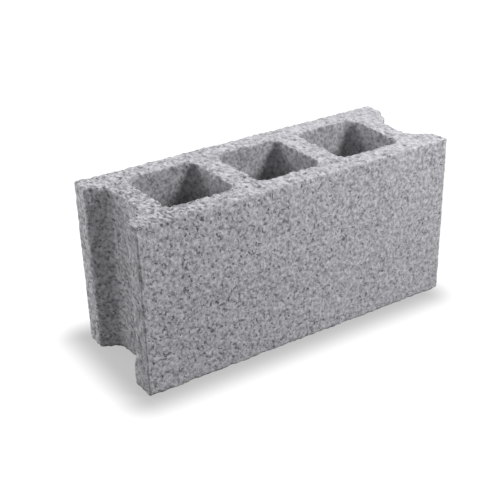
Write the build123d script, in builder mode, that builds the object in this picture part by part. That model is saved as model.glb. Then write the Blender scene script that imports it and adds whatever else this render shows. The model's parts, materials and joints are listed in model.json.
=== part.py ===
"""Hollow concrete masonry block with a row of cores and a groove down each end, in millimetres.

The block stands on its lower bed face. The origin is the middle of that face, +X runs along the
block, +Y across it and +Z up. It is cast in one piece, so it is one solid.
"""

import os

from build123d import *

# Overall size: a module of 400 x 150 x 200 less one mortar joint of 10
block_length = 390.0
block_width = 140.0
block_height = 190.0

# Walls, measured at the upper bed face, where the cores are widest
face_shell = 26.0
cross_web = 28.0
end_web = 24.0

# Cores: they narrow downwards, so that the mould's cores can be drawn out
core_count = 3
core_corner_radius = 11.0
core_draft_angle = 0.6

# Grooves: a floor that bows inwards between two slanting sides, with an ear on each side of the mouth
groove_depth = 23.0
groove_floor_bow = 4.0
groove_side_run = 13.0
groove_corner_radius = 10.0
ear_width = 22.0

# Worn edges: the upright corners, and the arrises around both bed faces
upright_corner_radius = 3.0
arris_radius = 1.5

# How far a cut runs past the face that it opens
cut_overrun = 5.0

# Sizes that follow
core_row_length = block_length - 2 * (groove_depth + end_web)
core_length = (core_row_length - (core_count - 1) * cross_web) / core_count
core_width = block_width - 2 * face_shell
core_pitch = core_length + cross_web
groove_floor_x = block_length / 2 - groove_depth
groove_corner_x = groove_floor_x + groove_floor_bow
groove_mouth_half_width = block_width / 2 - ear_width
groove_floor_half_width = groove_mouth_half_width - groove_side_run
groove_side_slope = groove_side_run / (groove_depth - groove_floor_bow)
groove_cut_x = block_length / 2 + cut_overrun
groove_cut_half_width = groove_mouth_half_width + cut_overrun * groove_side_slope

with BuildPart() as concrete_block:
    # Plan of the block: a rectangle with a groove cut into each end
    with BuildSketch() as plan:
        Rectangle(block_length, block_width)
        for end in (-1, 1):
            with BuildLine():
                floor = ThreePointArc(
                    (end * groove_corner_x, -groove_floor_half_width),
                    (end * groove_floor_x, 0),
                    (end * groove_corner_x, groove_floor_half_width),
                )
                Polyline(
                    floor @ 1,
                    (end * groove_cut_x, groove_cut_half_width),
                    (end * groove_cut_x, -groove_cut_half_width),
                    floor @ 0,
                )
            make_face(mode=Mode.SUBTRACT)
        left_ears, left_floor, right_floor, right_ears = plan.vertices().group_by(Axis.X)
        fillet(left_ears + right_ears, upright_corner_radius)
        fillet(left_floor + right_floor, groove_corner_radius)
    extrude(amount=block_height)

    # Cores: rounded rectangles in a row, drawn down through the block with draft on all sides
    with BuildSketch(Plane.XY.offset(block_height)):
        with GridLocations(core_pitch, 0, core_count, 1):
            RectangleRounded(core_length, core_width, core_corner_radius)
    extrude(amount=-(block_height + cut_overrun), taper=core_draft_angle, mode=Mode.SUBTRACT)

    # Arrises around both bed faces and the core mouths
    bed_faces = concrete_block.faces().filter_by(Axis.Z)
    fillet(bed_faces.edges(), arris_radius)

concrete_block.part.label = "concrete_block"

os.makedirs("parts", exist_ok=True)
export_step(concrete_block.part, "parts/concrete_block.step")
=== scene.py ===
"""Hollow concrete block: the cast block with its open grain, pits and worn arrises, on a white floor.

Shapes are worked out in millimetres, in the frame's own axes, and go into the mesh in metres. The front
looks towards -Y, and left and right are as seen from there.
"""

import json
import math

import bpy
import numpy as np
from mathutils import Matrix, Vector


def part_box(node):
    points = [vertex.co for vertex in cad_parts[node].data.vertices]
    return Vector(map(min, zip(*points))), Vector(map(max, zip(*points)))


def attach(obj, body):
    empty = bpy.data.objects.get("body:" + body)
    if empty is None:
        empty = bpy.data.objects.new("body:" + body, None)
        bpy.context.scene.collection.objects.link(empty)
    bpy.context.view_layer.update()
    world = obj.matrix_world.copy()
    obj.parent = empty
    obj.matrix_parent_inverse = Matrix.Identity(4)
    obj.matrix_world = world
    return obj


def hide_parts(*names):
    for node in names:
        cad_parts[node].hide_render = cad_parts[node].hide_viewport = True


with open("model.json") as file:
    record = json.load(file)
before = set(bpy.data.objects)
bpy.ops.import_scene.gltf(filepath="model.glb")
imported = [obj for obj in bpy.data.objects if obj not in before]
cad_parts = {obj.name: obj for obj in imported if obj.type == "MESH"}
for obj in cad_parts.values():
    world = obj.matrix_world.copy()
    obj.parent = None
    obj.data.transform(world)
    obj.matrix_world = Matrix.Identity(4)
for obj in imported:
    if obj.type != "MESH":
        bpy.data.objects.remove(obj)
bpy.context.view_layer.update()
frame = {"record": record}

MM = 0.001

# Overall size and the cores' places, from the frame
block_low, block_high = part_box("concrete_block")
length, width, height = np.round(np.array(block_high - block_low) / MM, 3)
half_length = length / 2
half_width = width / 2
core_boxes = {
    opening["name"]: np.array(opening["box_m"]) / MM
    for opening in frame["record"]["physics"]["openings"]
}
core_pitch = np.round(core_boxes["right_core"][:, 0].mean() - core_boxes["middle_core"][:, 0].mean(), 3)

# Walls at the upper bed, and the cores that they leave
face_shell = 26.0
cross_web = 28.0
core_half_length = (core_pitch - cross_web) / 2
core_half_width = half_width - face_shell
core_corner_radius = 11.0
core_draft = math.tan(math.radians(0.6))
web_middle = core_pitch / 2

# Grooves in the two ends
groove_depth = 23.0
groove_floor_bow = 4.0
groove_side_run = 13.0
ear_width = 22.0
groove_mouth_half = half_width - ear_width
groove_floor_half = groove_mouth_half - groove_side_run
groove_side_slope = (groove_depth - groove_floor_bow) / groove_side_run
groove_floor_blend = 7.0
groove_mouth_blend = 2.4

# Edges before wear; the corner radius stays the larger, or the beds' outline would fold at the corners
upright_corner_radius = 1.8
arris_radius = 1.5

# Mesh: columns stand round the walls, rows run up them, and rings run round the cores on the bed faces
end_columns = 226
middle_columns = 54
web_columns = 70
wall_rows = 92
core_rows = 34
arris_rows = 3
top_rings = 24
bottom_rings = 9

# Where the mesh is finer: columns crowd at the upright corners, and rings at both edges of a bed
corner_crowding = 3.0
corner_crowding_reach = 2.2
ring_crowding = 0.08

# Points on the curves that the columns are spaced along, and the steps that points are welded by
arc_steps = 12
face_points = 60
groove_points = 1200
run_points = 6000
weld_steps_per_mm = 1000

# Relief: spacing and height of the swell, the aggregate under the skin and the sand
swell_spacing = 70.0
swell_height = 0.5
stone_spacing = 6.0
stone_dome = 0.55
stone_step = 0.36
sand_spacing = 2.8
sand_height = 0.6
bed_extra_roughness = 0.4
core_lost_roughness = 0.3

# Scattered pits, and more of them on the upper bed, from its left to its right; radii are in spacings
pit_spacing = 12.0
pit_radii = (0.1, 0.25)
open_pit_spacing = 6.0
open_pit_radii = (0.15, 0.35)
open_pit_strengths = (1.0, 0.4)
pit_share = 0.5
pit_depth = 1.4
pit_steepness = 1.35

# Wear along the arrises, and the knocks that add to it, more round the core mouths
least_wear = 0.1
wear_spacing = 6.0
wear_reach = 4.0
knock_spacing = 12.0
knock_threshold = 0.7
knock_reach = 7.0
mouth_knock_gain = 0.1
mouth_knock_reach = 6.0
wear_slope = 0.6
wear_blend = 1.5

# Grain beside the arrises, where the skin has come off, and on the upright corners, where it is rubbed down
broken_reach = 4.0
mouth_extra_breaks = 0.5
rubbed_reach = 5.0
rubbed_roughness = 0.2

# Shade that the material puts into pits, into the marked pits and in patches along the walls' arrises
pit_shade = 0.7
full_shade_depth = 1.5
rim_shade = 0.8
rim_spacing = 5.0
rim_reach = 3.0

# A wall's normal rises less than the first, and the upper bed's comes in from one to the other of the next
wall_rise = 0.5
bed_rise = (0.75, 0.95)

# How far outside the row of cores their walls may lie, without and with relief, and their mouths wear
core_wall_margin = 1.0
rough_core_wall_margin = 2.0
mouth_margin = 5.0

# Where what changes from left to right starts and ends
left_to_right_span = (-150.0, 150.0)

# Seeds of the noises; a noise of grains also takes the three numbers after its own
seeds = {
    "swell": 1,
    "sand": 2,
    "wear": 3,
    "knocks": 4,
    "rims": 5,
    "stones": 10,
    "pits": 20,
    "bowls": 30,
    "open_pits": 40,
}

# Marked pits and chips, which stand out in the photograph, as bowls with a wandering rim
bowl_steepness = 1.4
bowl_rim_spacing = 3.5
bowl_rim_shares = (0.7, 1.3)
bed_pit_radius = 3.2
bed_pit_depth = 2.4
face_pit_radius = 2.6
face_pit_depth = 1.8
corner_chip_radius = 3.4
corner_chip_depth = 1.5

# Places of the pits on the upper bed, as x and y, and on the front face, as x and z
bed_pits = [
    (57, -48),
    (108, -63),
    (-47, -26),
    (-49, -55),
    (10, -54),
    (-157, -47),
    (-89, -57),
    (-161, 36),
    (51, 62),
    (57, 31),
]
face_pits = [
    (96, 109),
    (51, 106),
    (-51, 154),
    (-28, 150),
    (-12, 99),
    (16, 77),
    (-4, 58),
    (-119, 50),
    (-83, 154),
    (-82, 50),
]

# Chips on the upper bed, as x, y, radius and depth, and heights of the chips on the left front corner
bed_chips = [
    (-67, 5, 9, 2.6),
    (148, -20, 11, 4.2),
    (-170, 0, 6, 3.6),
    (-181, -37, 9, 2.6),
    (-150, -6, 4, 1.8),
    (-194, -69, 7, 2.4),
]
corner_chips = [148, 133, 103, 94, 77, 41]

# All of them as x, y, z, radius and depth
pits = [(x, y, height, bed_pit_radius, bed_pit_depth) for x, y in bed_pits]
pits += [(x, -half_width, z, face_pit_radius, face_pit_depth) for x, z in face_pits]
chips = [(x, y, height, radius, depth) for x, y, radius, depth in bed_chips]
chips += [(-half_length, -half_width, z, corner_chip_radius, corner_chip_depth) for z in corner_chips]


def blended_min(a, b, reach):
    """The smaller of a and b, less a parabola that rounds the join off where they come within reach."""
    near = np.maximum(reach - np.abs(a - b), 0) / reach
    return np.minimum(a, b) - near**2 * reach / 4


def eased(t):
    """3t^2 - 2t^3, from 0 to 1, level at both ends."""
    t = np.clip(t, 0, 1)
    return t * t * (3 - 2 * t)


def ramp(value, start, end):
    """0 up to start and 1 from end on, eased between them; start may be the larger of the two."""
    return eased((value - start) / (end - start))


def bowl(gap, radius, steepness=1.0):
    """1 in the middle, eased to 0 at the radius; above 1, steepness leaves a flat in the middle."""
    return eased(steepness * (1 - gap / radius))


def unit(vectors):
    """The vectors, each scaled to a length of 1."""
    return vectors / np.linalg.norm(vectors, axis=1)[:, None]


def lattice(cell, seed):
    """A fixed random number from 0 to 1 for each lattice point: its whole coordinates, times odd
    numbers and added up, are mixed by shifts and products in 32 bits."""
    n = (cell * np.array([73856093, 19349663, 83492791])).sum(-1) + seed * 2654435761
    n = (n & 0xFFFFFFFF).astype(np.uint32)
    n = (n ^ (n >> np.uint32(15))) * np.uint32(0x2C1B3C6D)
    n = (n ^ (n >> np.uint32(12))) * np.uint32(0x297A2D39)
    return (n ^ (n >> np.uint32(15))) / 2.0**32


def soft_noise(points, spacing, seed):
    """Value noise from 0 to 1: a lattice number every spacing millimetres, eased along each axis."""
    place = points / spacing
    base = np.floor(place).astype(np.int64)
    t = eased(place - base)
    total = np.zeros(len(points))
    for corner in np.ndindex(2, 2, 2):
        share = np.where(np.array(corner, bool), t, 1 - t).prod(axis=1)
        total += share * lattice(base + corner, seed)
    return total


def nearest_grain(points, spacing, seed):
    """Distance to the nearest grain, in lattice cells, and that grain's own random number. Each cell of
    the lattice holds one grain, at a random place in it."""
    place = points / spacing
    base = np.floor(place).astype(np.int64)
    nearest = np.full(len(points), np.inf)
    number = np.zeros(len(points))
    for step in np.ndindex(3, 3, 3):
        cell = base + step - 1
        jitter = np.stack([lattice(cell, seed + axis) for axis in range(3)], axis=1)
        gap = np.linalg.norm(place - cell - jitter, axis=1)
        closer = gap < nearest
        nearest = np.where(closer, gap, nearest)
        number = np.where(closer, lattice(cell, seed + 3), number)
    return nearest, number


def length_run(curve):
    """Length along a polyline from its start to each of its points."""
    return np.concatenate([[0], np.cumsum(np.linalg.norm(np.diff(curve, axis=0), axis=1))])


def along(at, run, values):
    """Values known at the lengths in run, blended straight between them at other lengths."""
    return np.stack([np.interp(at, run, column) for column in values.T], axis=1)


def groove_at(y):
    """Depth of an end's groove across the block: a parabola for the bowed floor, cut off by two
    slanting sides, with the joins rounded off; nothing on the ears."""
    bowed_floor = groove_depth - groove_floor_bow * (y / groove_floor_half) ** 2
    side = (groove_mouth_half - np.abs(y)) * groove_side_slope
    cut = blended_min(bowed_floor, side, groove_floor_blend)
    return -blended_min(-cut, np.zeros_like(y), groove_mouth_blend)


def end_outline():
    """Plan of the right-hand third's outside, with inward normals: along the front face, round the
    front ear, across the groove, round the back ear and back along the back face. Its columns are
    spaced by length, and crowd at the two upright corners as a bell curve rises. The column at the
    front corner is given as well."""
    ear_x = half_length - upright_corner_radius
    ear_y = half_width - upright_corner_radius
    turn = np.linspace(-np.pi / 2, 0, arc_steps + 1)
    face_x = np.linspace(web_middle, ear_x, face_points)
    groove_y = np.linspace(-ear_y, ear_y, groove_points)
    front = np.stack([face_x, np.full_like(face_x, -half_width)], axis=1)
    corner = upright_corner_radius * np.stack([np.cos(turn), np.sin(turn)], axis=1) + [ear_x, -ear_y]
    groove = np.stack([half_length - groove_at(groove_y), groove_y], axis=1)
    mirror = [1, -1]
    curve = np.concatenate([front, corner[1:-1], groove, corner[-2:0:-1] * mirror, front[::-1] * mirror])
    run = length_run(curve)
    tangent = np.gradient(curve, run, axis=0)
    inward = np.stack([-tangent[:, 1], tangent[:, 0]], axis=1)

    corner_run = ear_x - web_middle + upright_corner_radius * np.pi / 4
    fine_run = np.linspace(0, run[-1], run_points)
    from_corner = np.minimum(np.abs(fine_run - corner_run), np.abs(fine_run[::-1] - corner_run))
    share = np.cumsum(1 + corner_crowding * np.exp(-((from_corner / corner_crowding_reach) ** 2)))
    share = (share - share[0]) / (share[-1] - share[0])
    at = np.interp(np.linspace(0, 1, end_columns + 1), share, fine_run)
    corner_column = np.interp(corner_run, fine_run, share) * end_columns
    return along(at, run, curve), unit(along(at, run, inward)), corner_column


def core_ring(corner_columns):
    """Plan of a core's mouth about its own centre, with outward normals: a rounded rectangle, four
    quarter arcs joined by straight sides, from the middle of its back left arc down the left side and
    round. The middles of its arcs come at the given columns, and the columns between are evenly spaced
    by length."""
    turn = np.radians(np.linspace(0, 90, arc_steps + 1))
    angles = np.concatenate([turn + np.radians(first) for first in (90, 180, 270, 360)])
    sides = np.repeat([(-1, 1), (-1, -1), (1, -1), (1, 1)], arc_steps + 1, axis=0)
    closed = (np.arange(len(angles) + 1) + arc_steps // 2) % len(angles)
    outward = np.stack([np.cos(angles), np.sin(angles)], axis=1)[closed]
    arc_centres = sides[closed] * (np.array([core_half_length, core_half_width]) - core_corner_radius)
    curve = arc_centres + core_corner_radius * outward
    run = length_run(curve)
    at = np.interp(np.arange(corner_columns[-1] + 1), corner_columns, run[:: arc_steps + 1])
    return along(at, run, curve), unit(along(at, run, outward))


def carried(points, normals, offsets, heights):
    """A plan curve carried up a wall: each row is the curve moved along its normals, at one height."""
    plan = points[None] + offsets[:, None, None] * normals[None]
    levels = np.broadcast_to(heights[:, None, None], plan.shape[:2] + (1,))
    return np.concatenate([plan, levels], axis=2)


def grid_patch(grid, gap, flip=False):
    """A grid of points as a patch: its points, its quads and each point's gap to the nearest arris."""
    rows, columns = grid.shape[:2]
    number = np.arange(rows * columns).reshape(rows, columns)
    corners = [number[:-1, :-1], number[:-1, 1:], number[1:, 1:], number[1:, :-1]]
    faces = np.stack(corners, axis=-1).reshape(-1, 4)
    gaps = np.broadcast_to(gap, (rows, columns)).ravel()
    return grid.reshape(-1, 3), faces[:, ::-1] if flip else faces, gaps


def strip_patch(ring, coarse, gaps, flip=False):
    """A strip of triangles from a ring to one with fewer columns: each edge of either ring takes the
    point of the other ring that has been reached by the same share of the way round."""
    n, m = len(ring) - 1, len(coarse) - 1
    ring_share = np.arange(1, n + 1) / n
    coarse_share = np.arange(1, m + 1) / m
    i, j = np.arange(n), np.arange(m)
    over = np.searchsorted(coarse_share, ring_share, side="left") + n + 1
    under = np.searchsorted(ring_share, coarse_share, side="right")
    ring_faces = np.stack([i, i + 1, over], axis=1)
    coarse_faces = np.stack([under, j + n + 2, j + n + 1], axis=1)
    faces = np.concatenate([ring_faces, coarse_faces])
    points = np.concatenate([ring, coarse])
    return points, faces[:, ::-1] if flip else faces, np.repeat(gaps, [n + 1, m + 1])


def bed_patches(core, cell, outer, rings, coarse):
    """A bed face round one core: rings blended straight from the core's mouth to the edge of its third
    of the block, and crowded at both ends by a sine. The upper bed has every column out to the edge.
    The lower bed has every second one, and a strip at the edge."""
    span = np.linalg.norm(cell - core, axis=1)
    reach = np.linspace(0, 1, rings + 1)
    reach -= ring_crowding * np.sin(2 * np.pi * reach)
    gap = np.minimum(reach[:, None] * span, np.where(outer, (1 - reach[:, None]) * span, np.inf))
    grid = core + reach[:, None, None] * (cell - core)
    if not coarse:
        return [grid_patch(grid, gap, flip=True)]
    inner = grid[:-1, ::2]
    return [
        grid_patch(inner, gap[:-1, ::2]),
        strip_patch(cell, inner[-1], [0, gap[-2].min()], flip=True),
    ]


def cell_patches(core_plan, core_normals, cell_plan, outer):
    """The surfaces round one core: the upper bed, the core's wall with its worn mouths, and the lower
    bed. The mouths are quarter circles, and the wall leans in with depth by the draft."""
    turn = np.linspace(0, np.pi / 2, arris_rows + 1)
    mouth_z = height - arris_radius * (1 - np.cos(turn))
    mouth_out = arris_radius * (1 - np.sin(turn))
    wall_z = np.linspace(height - arris_radius, arris_radius, core_rows + 1)[1:]
    foot_z = arris_radius * (1 - np.sin(turn[1:]))
    foot_out = arris_radius * (1 - np.cos(turn[1:]))
    low_z = np.concatenate([wall_z, foot_z])
    low_out = np.concatenate([np.zeros_like(wall_z), foot_out])
    mouth = carried(core_plan, core_normals, mouth_out - (height - mouth_z) * core_draft, mouth_z)
    wall = carried(core_plan[::2], core_normals[::2], low_out - (height - low_z) * core_draft, low_z)
    mouth_gap = np.abs(height - mouth_z)
    wall_gap = np.minimum(height - low_z, low_z)
    top_cell = np.column_stack([cell_plan, np.full(len(cell_plan), height)])
    foot_cell = np.column_stack([cell_plan, np.zeros(len(cell_plan))])
    foot_core = carried(core_plan, core_normals, foot_out[-1:] - height * core_draft, foot_z[-1:])[0]
    return [
        grid_patch(mouth, mouth_gap[:, None]),
        strip_patch(mouth[-1], wall[0], [mouth_gap[-1], wall_gap[0]]),
        grid_patch(wall, wall_gap[:, None]),
        *bed_patches(mouth[0], top_cell, outer, top_rings, coarse=False),
        *bed_patches(foot_core, foot_cell, outer, bottom_rings, coarse=True),
    ]


def turned(patch):
    """The patch turned half round about the block's upright axis."""
    points, faces, gap = patch
    return points * [-1, -1, 1], faces, gap


def block_patches():
    """The whole cast surface in patches: outer walls, and the bed faces and core wall of each third.
    The left end is the right end turned half round, and the middle's back is its front turned so."""
    turn = np.linspace(0, np.pi / 2, arris_rows + 1)
    foot = arris_radius * np.stack([1 - np.sin(turn), 1 - np.cos(turn)])
    head = np.array([[0], [height]]) + arris_radius * np.stack([1 - np.cos(turn), np.sin(turn) - 1])
    wall_z = np.linspace(arris_radius, height - arris_radius, wall_rows + 1)[1:-1]
    inset, level = np.concatenate([foot, np.stack([np.zeros_like(wall_z), wall_z]), head], axis=1)
    wall_gap = np.minimum(level, height - level)[:, None]

    end, end_normals, corner_column = end_outline()
    face_x = np.linspace(-web_middle, web_middle, middle_columns + 1)
    front = np.stack([face_x, np.full_like(face_x, -half_width)], axis=1)
    front_normals = np.broadcast_to([0.0, 1.0], front.shape)
    end_wall = grid_patch(carried(end, end_normals, inset, level), wall_gap)
    front_wall = grid_patch(carried(front, front_normals, inset, level), wall_gap)

    bed_y = np.linspace(half_width - arris_radius, arris_radius - half_width, web_columns + 1)
    web = np.stack([np.full_like(bed_y, web_middle), bed_y], axis=1)
    end_edge = end + arris_radius * end_normals
    front_edge = front + arris_radius * front_normals
    end_cell = np.concatenate([web, end_edge[1:]])
    middle_cell = np.concatenate([-web[::-1], front_edge[1:], web[-2::-1], -front_edge[1:]])
    end_outer = np.arange(len(end_cell)) >= web_columns
    side = middle_columns + web_columns
    middle_outer = np.arange(len(middle_cell)) % side >= web_columns
    middle_outer[side] = True

    end_corners = web_columns + np.array([0, corner_column, end_columns - corner_column, end_columns])
    middle_corners = np.array([0, web_columns, side, side + web_columns, 2 * side])
    end_core, end_core_normals = core_ring(np.concatenate([[0], end_corners]))
    middle_core, middle_core_normals = core_ring(middle_corners)
    end_third = cell_patches(end_core + [core_pitch, 0], end_core_normals, end_cell, end_outer)
    middle_third = cell_patches(middle_core, middle_core_normals, middle_cell, middle_outer)
    one_end = [end_wall, front_wall, *end_third]
    return [*one_end, *[turned(patch) for patch in one_end], *middle_third]


def welded(patches):
    """The patches as one closed surface: points that coincide become one, with the least of their gaps."""
    points = np.concatenate([patch[0] for patch in patches])
    starts = np.cumsum([0] + [len(patch[0]) for patch in patches])
    key = np.round(points * weld_steps_per_mm).astype(np.int64)
    _, first, number = np.unique(key, axis=0, return_index=True, return_inverse=True)
    number = number.ravel()
    gap = np.full(len(first), np.inf)
    np.minimum.at(gap, number, np.concatenate([patch[2] for patch in patches]))
    faces = [number[patch[1] + start] for patch, start in zip(patches, starts)]
    quads = np.concatenate([f for f in faces if f.shape[1] == 4])
    triangles = np.concatenate([f for f in faces if f.shape[1] == 3])
    return points[first], quads, triangles, gap


def point_normals(points, quads, triangles):
    """Unit normals at the points: the sum of the faces' normals around each, weighted by their areas. A
    face's normal is the cross product of a quad's diagonals or of two sides of a triangle."""
    total = np.zeros_like(points)
    for faces, a, b, c, d in ((quads, 0, 2, 1, 3), (triangles, 0, 1, 0, 2)):
        corners = points[faces]
        normal = np.cross(corners[:, b] - corners[:, a], corners[:, d] - corners[:, c])
        for corner in faces.T:
            np.add.at(total, corner, normal)
    return unit(total)


def cast_faults(points):
    """Shift of each point where the mould left more or less concrete than it should. The left front ear
    is wider at its foot, and the left back ear all the way up. At the top of the right groove a lump
    stands out beside the back corner, and the floor is deeper in front of it. Each is a hump across the
    block times fades along X and Z, and the lump stops at the end of the block."""
    end_fade = (160, 170)
    groove_top_fade = (110, 180)
    front_ear_foot_fade = (46, 22)
    front_ear_rise, front_ear_fall = (-68, -48), (-26, -48)
    back_ear_rise, back_ear_fall = (68, 50), (22, 46)
    front_ear_widening = 9.5
    back_ear_widening = 2.5
    lump_y, lump_reach, lump_height, lump_steepness = 31, 20, 9.3, 1.3
    hollow_y, hollow_reach, hollow_depth = -20, 24, 4

    x, y, z = points.T
    left_end = ramp(-x, *end_fade)
    right_groove_top = ramp(x, *end_fade) * ramp(z, *groove_top_fade)
    front_ear = ramp(y, *front_ear_rise) * ramp(y, *front_ear_fall) * ramp(z, *front_ear_foot_fade)
    back_ear = ramp(y, *back_ear_rise) * ramp(y, *back_ear_fall)
    lump = lump_height * bowl(np.abs(y - lump_y), lump_reach, lump_steepness)
    hollow = hollow_depth * bowl(np.abs(y - hollow_y), hollow_reach)
    shift_x = right_groove_top * (np.minimum(lump, half_length - x) - hollow)
    shift_y = left_end * (front_ear_widening * front_ear - back_ear_widening * back_ear)
    return np.stack([shift_x, shift_y, np.zeros_like(z)], axis=1)


def scattered_pits(points, spacing, radii, seed):
    """Depth, from 0 to 1, in bowls round some of a lattice's grains, whose numbers set the radii."""
    gap, number = nearest_grain(points, spacing, seed)
    radius = np.interp(number, (0, 1), radii)
    return np.where(number > pit_share, bowl(gap, radius, pit_steepness), 0)


def marked_bowls(points, marks):
    """Depth of a bowl round each mark, whose rim wanders with a noise; the deepest one counts."""
    rim = np.interp(soft_noise(points, bowl_rim_spacing, seeds["bowls"]), (0, 1), bowl_rim_shares)
    depth = np.zeros(len(points))
    for x, y, z, radius, deepest in marks:
        gap = np.linalg.norm(points - (x, y, z), axis=1)
        depth = np.maximum(depth, deepest * bowl(gap, radius * rim, bowl_steepness))
    return depth


def corner_gap(points):
    """Distance in plan from each point to the nearest upright corner of the block."""
    corners = np.array([(x, y) for x in (-1, 1) for y in (-1, 1)]) * [half_length, half_width]
    return np.linalg.norm(points[:, None, :2] - corners, axis=2).min(axis=1)


def in_core_row(points, margin):
    """True where a point lies over the row of cores in plan, or less than the margin outside it."""
    across = np.abs(points[:, 1]) < core_half_width + margin
    return across & (np.abs(points[:, 0]) < core_pitch + core_half_length + margin)


def on_core_wall(points, normals, margin):
    """True on the walls of the cores: over their row in plan, with a normal that rises little."""
    return in_core_row(points, margin) & (np.abs(normals[:, 2]) < wall_rise)


def facing_up(normals):
    """1 on the upper bed, eased to 0 on what leans away from it."""
    return ramp(normals[:, 2], *bed_rise)


def left_to_right(points, ends):
    """A value that goes evenly from the first of two at the left end to the second at the right."""
    return np.interp(points[:, 0], left_to_right_span, ends)


def relief(points, normals, gap):
    """How far each point stands out of the cast surface, in millimetres, and how much painted shade it
    takes, from 0 to 1: in pits, as deep as they are, in marked pits, and in patches under the walls'
    arrises. A slow swell, aggregate under the skin and sand raise and lower the surface, more on the
    upper bed and beside the arrises, and less in the cores. Pits are bowls round scattered grains, and
    marked pits and chips are bowls at their own places. The arrises are worn back along a slope that
    starts at a distance from them, and that distance varies with two noises."""
    up = facing_up(normals)
    in_core = on_core_wall(points, normals, core_wall_margin)
    mouth = in_core_row(points, mouth_margin)
    upright_gap = corner_gap(points)

    swell = swell_height * (soft_noise(points, swell_spacing, seeds["swell"]) - 0.5)
    spread, number = nearest_grain(points, stone_spacing, seeds["stones"])
    stones = stone_dome * (0.5 - spread) + stone_step * (number - 0.5)
    sand = sand_height * (soft_noise(points, sand_spacing, seeds["sand"]) - 0.5)
    rough = 1 + bed_extra_roughness * up - core_lost_roughness * in_core
    broken = (1 + mouth_extra_breaks * mouth) * bowl(gap, broken_reach)
    rubbed_and_painted_light = rubbed_roughness * bowl(upright_gap, rubbed_reach)

    pit_and_painted_shade = scattered_pits(points, pit_spacing, pit_radii, seeds["pits"]) * ~in_core
    open_pit = scattered_pits(points, open_pit_spacing, open_pit_radii, seeds["open_pits"])
    pit_and_painted_shade = np.maximum(pit_and_painted_shade, up * left_to_right(points, open_pit_strengths) * open_pit)
    marked_pit = marked_bowls(points, pits)
    chip = marked_bowls(points, chips)

    knocks = soft_noise(points, knock_spacing, seeds["knocks"])
    knocked = np.maximum(knocks - knock_threshold + mouth_knock_gain * mouth, 0)
    wear = least_wear + wear_reach * soft_noise(points, wear_spacing, seeds["wear"]) ** 4
    wear += (knock_reach + mouth_knock_reach * mouth) * knocked
    worn = -wear_slope * blended_min(np.minimum(gap, upright_gap) - wear, 0, wear_blend)

    grain = rough * ((1 + broken - rubbed_and_painted_light) * (stones + sand) - pit_depth * pit_and_painted_shade)
    # Painted shade in patches under the walls' arrises
    rim = rim_shade * bowl(gap, rim_reach) * (1 - up) * soft_noise(points, rim_spacing, seeds["rims"])
    shade = [pit_shade * pit_and_painted_shade, np.minimum(marked_pit / full_shade_depth, 1), rim]
    return swell + grain - worn - marked_pit - chip, np.maximum.reduce(shade)


def finish_and_painted_shading(points, normals):
    """What the material asks of each point. Bare is how open the grain is: less to the right, more on
    the upper bed and less in the cores. Pale is painted light: on the upper bed, more to the right and
    less to the front, and on the upright corners, where it offsets the shade that they take. Painted
    shade darkens the core walls: it dips a little way down and is whole further down, less to the
    right, on walls that look left and, near the mouth, in the corners."""
    wall_openness = (0.64, 0.26)
    bed_extra_openness = (0.41, 0.21)
    core_lost_openness = 0.4
    bed_painted_light = (0.3, 0.58)
    front_lost_painted_light = 0.22
    front_fade = (10, -60)
    corner_painted_light = 0.7
    corner_painted_light_reach = 3.5
    mouth_fade = 3
    painted_shade_depths = (0, 26, 50)
    painted_shade_shares = (0.85, 0.42, 1.0)
    right_lost_painted_shade = 0.3
    left_facing_lost_painted_shade = 0.6
    corner_lost_painted_shade = 1.6
    corner_depth = 40

    up = facing_up(normals)
    in_core = on_core_wall(points, normals, rough_core_wall_margin)
    bare = left_to_right(points, wall_openness) + up * left_to_right(points, bed_extra_openness)
    bare -= core_lost_openness * in_core

    to_front = ramp(points[:, 1], *front_fade)
    # Painted light on the upper bed, more to the right and less to the front
    with_painted_light = up * (left_to_right(points, bed_painted_light) - front_lost_painted_light * to_front)
    # Painted light on the upright corners, which offsets the shade that they take
    rubbed_and_painted_light = corner_painted_light * bowl(corner_gap(points), corner_painted_light_reach, bowl_steepness)

    # Painted shade on the core walls, less in their corners near the mouth
    depth = height - points[:, 2]
    core_corner = np.abs(normals[:, 0] * normals[:, 1]) * bowl(depth, corner_depth)
    painted_core_shade = in_core * ramp(depth, 0, mouth_fade) * np.interp(depth, painted_shade_depths, painted_shade_shares)
    painted_core_shade *= 1 - right_lost_painted_shade * ramp(points[:, 0], *left_to_right_span)
    painted_core_shade *= 1 - left_facing_lost_painted_shade * np.maximum(-normals[:, 0], 0)
    painted_core_shade *= 1 - corner_lost_painted_shade * core_corner
    return {"bare": bare, "pale": np.maximum(with_painted_light, rubbed_and_painted_light), "painted_core_shade": painted_core_shade}


def shown(name, data):
    """A new object for the data, put into the scene."""
    item = bpy.data.objects.new(name, data)
    bpy.context.scene.collection.objects.link(item)
    return item


def concrete_block():
    """The block's cast surface as one mesh, moved along its normals by the relief and cut off level at
    the floor, with the painted shade of its pits and arrises, and the finish with its painted light and
    shade, kept at its points for the material."""
    points, quads, triangles, gap = welded(block_patches())
    points += cast_faults(points)
    normals = point_normals(points, quads, triangles)
    stand, pit_and_painted_shade = relief(points, normals, gap)
    points = points + stand[:, None] * normals
    points[:, 2] = np.maximum(points[:, 2], 0)
    mesh = bpy.data.meshes.new("cast_block")
    mesh.from_pydata((points * MM).tolist(), [], quads.tolist() + triangles.tolist())
    mesh.polygons.foreach_set("use_smooth", np.ones(len(mesh.polygons), bool))
    # The painted shade and the finish with its painted light and shade go to the material
    for name, values in {"pit_and_painted_shade": pit_and_painted_shade, **finish_and_painted_shading(points, normals)}.items():
        mesh.attributes.new(name, "FLOAT", "POINT").data.foreach_set("value", values.astype(np.float32))
    mesh.validate()
    mesh.update()
    return shown("cast_block", mesh)


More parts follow.
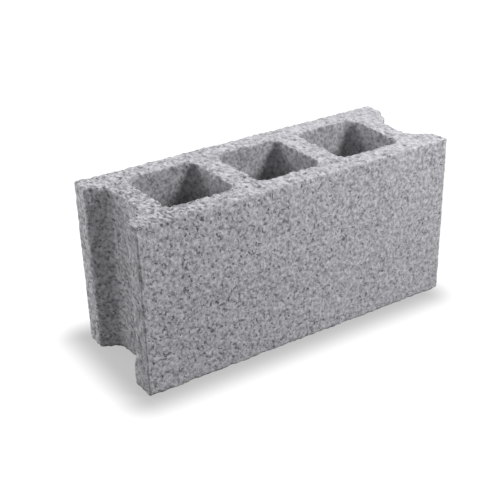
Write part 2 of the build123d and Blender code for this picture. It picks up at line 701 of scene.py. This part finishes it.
def linear(code):
    """An sRGB hex colour as linear red, green, blue and alpha."""
    srgb = np.array([int(code[k : k + 2], 16) for k in (1, 3, 5)]) / 255
    rgb = np.where(srgb <= 0.04045, srgb / 12.92, ((srgb + 0.055) / 1.055) ** 2.4)
    return (*rgb, 1.0)


def empty_tree(owner):
    """The node tree of a material or world, with the nodes that it starts with taken out."""
    owner.use_nodes = True
    owner.node_tree.nodes.clear()
    return owner.node_tree


def add(tree, kind, inputs=None, **settings):
    """Adds a node with its settings; each of its inputs is a value or another node's output."""
    node = tree.nodes.new(kind)
    for name, value in settings.items():
        setattr(node, name, value)
    for name, value in (inputs or {}).items():
        if isinstance(value, bpy.types.NodeSocket):
            tree.links.new(value, node.inputs[name])
        else:
            node.inputs[name].default_value = value
    return node


def per_mm(size):
    """Texture scale that gives one lattice cell or grain every size millimetres."""
    return 1 / (size * MM)


def block_concrete():
    """Open-textured block concrete, tamped nearly dry in a mould: matt grey cement over sand and small
    stones, with voids between the stones where the paste did not fill in, dark with painted shade, as
    are the pits. That gives the eye an even, speckled grey, darker where the grain is open, paler where
    light is painted on, and darker with painted shade on the core walls. Real sand is too fine to show
    in the render, so it is drawn as coarse as the grain that shows in the photograph, and longer across
    the block than along it."""
    cement_dark = linear("#716f75")
    cement_pale = linear("#c9c8cd")
    painted_void_shade = linear("#4c4b4f")
    full_light = linear("#ffffff")
    core_shade = linear("#bebebe")
    cement_roughness = 0.92
    cement_ior = 1.5
    grain_stretch = (1.05, 0.75, 0.92)
    gap_stretch = (1, 0.6, 1)
    stone_size = 4.5
    paste_weight = 0.1
    bare_weight = 0.16
    void_from, void_to = 0.66, 0.98
    painted_pit_shade_weight = 0.8
    sand_from, sand_to = 0.34, 0.66
    stone_share = 0.3
    cloud_weight = 0.2
    painted_light_weight = 0.3
    void_sink = -2.0
    bump_height = 0.3 * MM

    material = bpy.data.materials.new("block_concrete")
    tree = empty_tree(material)
    place = add(tree, "ShaderNodeTexCoord").outputs["Object"]
    grain = add(tree, "ShaderNodeMapping", {"Vector": place, "Scale": grain_stretch}).outputs["Vector"]
    across = add(tree, "ShaderNodeMapping", {"Vector": place, "Scale": gap_stretch}).outputs["Vector"]
    pit_and_painted_shade, bare, pale, painted_core_shade = (
        add(tree, "ShaderNodeAttribute", attribute_name=name).outputs["Fac"]
        for name in ("pit_and_painted_shade", "bare", "pale", "painted_core_shade")
    )

    # Noises by name, each with its coordinates, size in millimetres, detail, roughness and distortion
    noises = {
        "sand": (grain, 3.76, 2.0, 0.6, 0.0),
        "voids": (grain, 3.4, 1.0, 0.5, 0.2),
        "gaps": (across, 5.0, 1.0, 0.5, 0.2),
        "paste": (grain, 14.0, 2.0, 0.5, 0.0),
        "clouds": (grain, 45.0, 2.0, 0.5, 0.0),
    }
    noise = {}
    for name, (vector, size, detail, roughness, distortion) in noises.items():
        inputs = {
            "Vector": vector,
            "Scale": per_mm(size),
            "Detail": detail,
            "Roughness": roughness,
            "Distortion": distortion,
        }
        noise[name] = add(tree, "ShaderNodeTexNoise", inputs).outputs["Fac"]
    stones = add(tree, "ShaderNodeTexVoronoi", {"Vector": grain, "Scale": per_mm(stone_size)})
    stone_tone = add(tree, "ShaderNodeSeparateColor", {"Color": stones.outputs["Color"]}).outputs["Red"]

    # Voids open where their noise is high, more where paste is thin or the grain bare; voids and pits get
    # painted shade
    void_noise = add(
        tree,
        "ShaderNodeMix",
        {"Factor": pale, "A": noise["voids"], "B": noise["gaps"]},
    ).outputs["Result"]
    thin_paste = add(
        tree,
        "ShaderNodeMath",
        {0: noise["paste"], 1: paste_weight, 2: void_noise},
        operation="MULTIPLY_ADD",
    ).outputs["Value"]
    openness = add(
        tree,
        "ShaderNodeMath",
        {0: bare, 1: bare_weight, 2: thin_paste},
        operation="MULTIPLY_ADD",
    ).outputs["Value"]
    void = add(
        tree,
        "ShaderNodeMapRange",
        {"Value": openness, "From Min": void_from, "From Max": void_to},
        interpolation_type="SMOOTHSTEP",
    ).outputs["Result"]
    # Painted shade in the pits, joined to the voids' painted shade
    painted_pit_shade = add(tree, "ShaderNodeMath", {0: pit_and_painted_shade, 1: painted_pit_shade_weight}, operation="MULTIPLY").outputs["Value"]
    painted_pit_and_void_shade = add(tree, "ShaderNodeMath", {0: void, 1: painted_pit_shade}, operation="MAXIMUM").outputs["Value"]

    # Cement goes from dark to pale with the sand and each stone's own tone, in broad clouds, and with
    # painted light
    sandy = add(
        tree,
        "ShaderNodeMapRange",
        {"Value": noise["sand"], "From Min": sand_from, "From Max": sand_to},
    ).outputs["Result"]
    tone = add(
        tree,
        "ShaderNodeMix",
        {"Factor": stone_share, "A": sandy, "B": stone_tone},
    ).outputs["Result"]
    clouded = add(
        tree,
        "ShaderNodeMath",
        {0: noise["clouds"], 1: cloud_weight, 2: tone},
        operation="MULTIPLY_ADD",
    ).outputs["Value"]
    with_painted_light = add(
        tree,
        "ShaderNodeMath",
        {0: pale, 1: painted_light_weight, 2: clouded},
        operation="MULTIPLY_ADD",
    ).outputs["Value"]
    cement = add(
        tree,
        "ShaderNodeMix",
        {"Factor": with_painted_light, "A": cement_dark, "B": cement_pale},
        data_type="RGBA",
    ).outputs["Result"]
    # The voids and pits take their painted shade
    cement_with_painted_shade = add(
        tree,
        "ShaderNodeMix",
        {"Factor": painted_pit_and_void_shade, "A": cement, "B": painted_void_shade},
        data_type="RGBA",
    ).outputs["Result"]
    # Painted shade on the core walls, multiplied into the colour
    painted_core_shade_colour = add(
        tree,
        "ShaderNodeMix",
        {"Factor": painted_core_shade, "A": full_light, "B": core_shade},
        data_type="RGBA",
    ).outputs["Result"]
    colour = add(
        tree,
        "ShaderNodeMix",
        {"Factor": 1.0, "A": cement_with_painted_shade, "B": painted_core_shade_colour},
        data_type="RGBA",
        blend_type="MULTIPLY",
    ).outputs["Result"]

    # The same grain stands up and the voids sink in
    raised = add(
        tree,
        "ShaderNodeMath",
        {0: painted_pit_and_void_shade, 1: void_sink, 2: tone},
        operation="MULTIPLY_ADD",
    ).outputs["Value"]
    bump = add(
        tree,
        "ShaderNodeBump",
        {"Height": raised, "Distance": bump_height, "Strength": 1.0},
    ).outputs["Normal"]
    shader = add(
        tree,
        "ShaderNodeBsdfPrincipled",
        {"Base Color": colour, "Roughness": cement_roughness, "IOR": cement_ior, "Normal": bump},
    )
    add(tree, "ShaderNodeOutputMaterial", {"Surface": shader.outputs["BSDF"]})
    return material


def seen_directly(tree):
    """1 on rays from the camera and on mirrored or refracted rays, and 0 on the rest."""
    path = add(tree, "ShaderNodeLightPath").outputs
    straight = add(
        tree,
        "ShaderNodeMath",
        {0: path["Is Camera Ray"], 1: path["Is Glossy Ray"]},
        operation="MAXIMUM",
    ).outputs["Value"]
    return add(
        tree,
        "ShaderNodeMath",
        {0: straight, 1: path["Is Transmission Ray"]},
        operation="MAXIMUM",
    ).outputs["Value"]


def white_paper():
    """Studio paper, matt and white. What sees it directly sees white with the block's shadow, and a
    painted shadow round the block's foot: the paper's glow is held lower near a rectangle at the foot,
    as long as the block but for a strip at its right end, and rises with distance, so that the shadow
    fades out. Other rays see grey, so that it throws little light back up at the block."""
    seen_grey = linear("#484848")
    bounced_grey = linear("#6a6a6a")
    shadow_reach = 48 * MM
    shadow_strength = 0.52
    # The painted shadow stops short of the right end, so that it lies to the left
    right_strip = 26 * MM
    shadow_half_size = (half_length * MM - right_strip / 2, half_width * MM, 0)

    material = bpy.data.materials.new("white_paper")
    tree = empty_tree(material)
    seen = seen_directly(tree)
    grey = add(
        tree,
        "ShaderNodeMix",
        {"Factor": seen, "A": bounced_grey, "B": seen_grey},
        data_type="RGBA",
    ).outputs["Result"]
    paper = add(tree, "ShaderNodeBsdfDiffuse", {"Color": grey}).outputs["BSDF"]

    place = add(tree, "ShaderNodeTexCoord").outputs["Object"]
    centred = add(
        tree,
        "ShaderNodeVectorMath",
        {0: place, 1: (right_strip / 2, 0, 0)},
        operation="ADD",
    ).outputs["Vector"]
    mirrored = add(tree, "ShaderNodeVectorMath", {0: centred}, operation="ABSOLUTE").outputs["Vector"]
    past = add(
        tree,
        "ShaderNodeVectorMath",
        {0: mirrored, 1: shadow_half_size},
        operation="SUBTRACT",
    ).outputs["Vector"]
    outside = add(
        tree,
        "ShaderNodeVectorMath",
        {0: past, 1: (0, 0, 0)},
        operation="MAXIMUM",
    ).outputs["Vector"]
    away = add(tree, "ShaderNodeVectorMath", {0: outside}, operation="LENGTH").outputs["Value"]
    # The glow is held lower near the foot: a painted shadow
    glow_with_painted_shadow = add(
        tree,
        "ShaderNodeMapRange",
        {"Value": away, "From Max": shadow_reach, "To Min": 1 - shadow_strength, "To Max": 1.0},
        interpolation_type="SMOOTHSTEP",
    ).outputs["Result"]
    glow = add(tree, "ShaderNodeMath", {0: seen, 1: glow_with_painted_shadow}, operation="MULTIPLY").outputs["Value"]
    white = add(tree, "ShaderNodeEmission", {"Strength": glow}).outputs["Emission"]
    both = add(tree, "ShaderNodeAddShader", {0: paper, 1: white}).outputs["Shader"]
    add(tree, "ShaderNodeOutputMaterial", {"Surface": both})
    return material


def floor():
    """A wide square floor under the block, in metres."""
    half = 3.0
    mesh = bpy.data.meshes.new("floor")
    corners = [(-half, -half, 0), (half, -half, 0), (half, half, 0), (-half, half, 0)]
    mesh.from_pydata(corners, [], [(0, 1, 2, 3)])
    mesh.materials.append(white_paper())
    shown("floor", mesh)


def looking_at(aim, bearing, rise, distance, tilt=0.0):
    """Placing of a lamp or camera that looks at aim from a distance. Its bearing goes from +X towards
    +Y, its rise up from level, and its tilt about its own line of sight, all in degrees."""
    round_block = Matrix.Rotation(math.radians(bearing + 90), 4, "Z")
    down = Matrix.Rotation(math.radians(90 - rise), 4, "X")
    tilted = Matrix.Rotation(math.radians(tilt), 4, "Z")
    return Matrix.Translation(aim) @ round_block @ down @ tilted @ Matrix.Translation((0, 0, distance))


def studio_light():
    """Even white surroundings, a broad lamp above and to the right of the block's front, and two weaker
    ones behind its left end. What sees the surroundings directly sees white."""
    surroundings_strength = 0.39
    lamp_aim = (0, 0, 0.1)
    lamps = {
        # name: bearing and rise of the lamp in degrees, distance and width in metres, power in watts
        "key_lamp": (-54, 40, 1.3, 0.42, 14.4),
        "left_lamp": (150, 4, 0.6, 0.3, 0.82),
        "back_lamp": (120, 35, 0.8, 0.3, 3.0),
    }
    world = bpy.data.worlds.new("studio")
    bpy.context.scene.world = world
    tree = empty_tree(world)
    seen = seen_directly(tree)
    strength = add(tree, "ShaderNodeMix", {"Factor": seen, "A": surroundings_strength, "B": 1.0})
    backdrop = add(
        tree,
        "ShaderNodeBackground",
        {"Color": linear("#ffffff"), "Strength": strength.outputs["Result"]},
    )
    add(tree, "ShaderNodeOutputWorld", {"Surface": backdrop.outputs["Background"]})

    for name, (bearing, rise, distance, size, power) in lamps.items():
        lamp = bpy.data.lights.new(name, "AREA")
        lamp.shape = "DISK"
        lamp.size = size
        lamp.energy = power
        shown(name, lamp).matrix_world = looking_at(lamp_aim, bearing, rise, distance)


def camera():
    """The photograph's view: the point that it aims at, its bearing, rise, tilt, distance and lens."""
    aim = Vector((-21.2, 6.6, 83.8)) * MM
    bearing, rise, tilt = -122.47, 27.34, -1.56
    distance = 1124.2 * MM
    focal_pixels = 1005.3
    image_pixels = 500
    lens = bpy.data.cameras.new("camera")
    lens.sensor_width = 36
    lens.lens = lens.sensor_width * focal_pixels / image_pixels
    eye = shown("camera", lens)
    eye.matrix_world = looking_at(aim, bearing, rise, distance, tilt)
    bpy.context.scene.camera = eye


block = concrete_block()
block.data.materials.append(block_concrete())
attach(block, "root")
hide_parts("concrete_block")

floor()
studio_light()
camera()
bpy.context.scene.view_settings.view_transform = "Standard"
